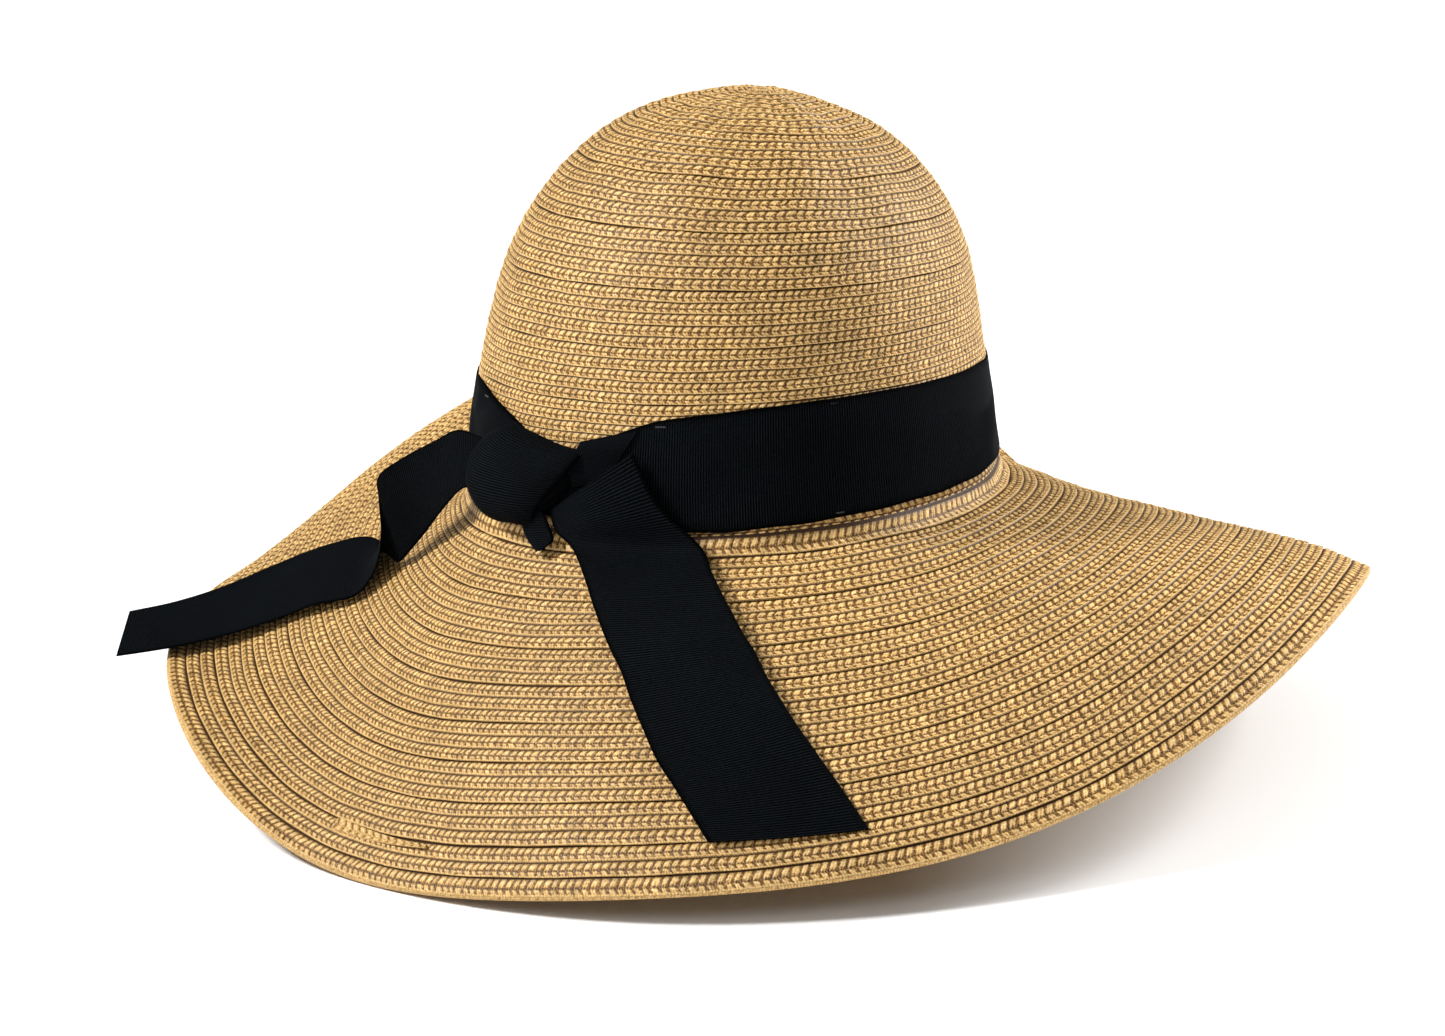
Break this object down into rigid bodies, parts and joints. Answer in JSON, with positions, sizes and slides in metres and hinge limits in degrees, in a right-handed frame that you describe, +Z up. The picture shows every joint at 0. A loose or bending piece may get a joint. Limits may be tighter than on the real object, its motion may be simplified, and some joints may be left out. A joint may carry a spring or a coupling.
{
  "type": "wide brim straw sun hat",
  "caption": "Floppy wide-brimmed sun hat of spirally sewn straw braid with a rounded crown, dark ribbon band, side knot and long ribbon tails.",
  "frame": {"origin": "centre of the head opening, in the plane where the crown wall turns into the brim", "axes": "+Z up through the crown, -Y towards the front of the hat, -X towards the side with the knot"},
  "size_m": [0.3871, 0.4315, 0.2377],
  "materials": {
    "straw": "woven paper straw, satin",
    "straw_edge": "woven paper straw, satin",
    "ribbon_black": "ribbed grosgrain, low sheen",
    "sweat_tape": "ribbed cotton tape",
    "wire_steel": "drawn wire",
    "sleeve_metal": "crimped tube",
    "thread_tan": "sewing thread",
    "thread_black": "sewing thread"
  },
  "bodies": {
    "hat": {"crown_tip_coil": "straw", "crown_dome_courses": "straw", "crown_wall_courses": "straw", "brim_break_course": "straw", "brim_inner_courses": "straw", "brim_outer_courses": "straw", "brim_edge_braid": "straw_edge", "braid_end": "straw_edge", "brim_edge_wire": "wire_steel", "wire_joint_sleeve": "sleeve_metal", "sweatband": "sweat_tape", "sweatband_join_tape": "sweat_tape", "sweatband_stitches": "thread_tan", "ribbon_band": "ribbon_black", "ribbon_tack_stitches": "thread_black", "knot_wrap": "ribbon_black", "knot_core": "ribbon_black", "knot_pleat": "ribbon_black", "ribbon_fold": "ribbon_black", "knot_tack_stitches": "thread_black", "tail_right_root": "ribbon_black"},
    "right_tail_upper": {"tail_right_upper": "ribbon_black"},
    "right_tail_end": {"tail_right_lower": "ribbon_black"},
    "left_tail_root": {"tail_left_root": "ribbon_black", "tail_left_fold": "ribbon_black"},
    "left_tail_end": {"tail_left_strip": "ribbon_black"}
  },
  "joints": [
    {"name": "right_tail_lift", "type": "hinge", "parent": "hat", "child": "right_tail_upper", "pos_m": [-0.08493, -0.04875, -0.00226], "axis": [-0.5059, 0.8616, -0.0405], "range_deg": [0, 70]},
    {"name": "right_tail_curl", "type": "hinge", "parent": "right_tail_upper", "child": "right_tail_end", "pos_m": [-0.10315, -0.09322, -0.02928], "axis": [-0.718, 0.6895, -0.0959], "range_deg": [0, 60]},
    {"name": "left_tail_swing", "type": "hinge", "parent": "hat", "child": "left_tail_root", "pos_m": [-0.0932, 0.0336, 0.019], "axis": [0.0877, 0.0585, 0.9944], "range_deg": [0, 35]},
    {"name": "left_tail_lift", "type": "hinge", "parent": "left_tail_root", "child": "left_tail_end", "pos_m": [-0.09177, 0.11125, -0.03255], "axis": [0.72, 0.5682, 0.3983], "range_deg": [0, 60]}
  ]
}
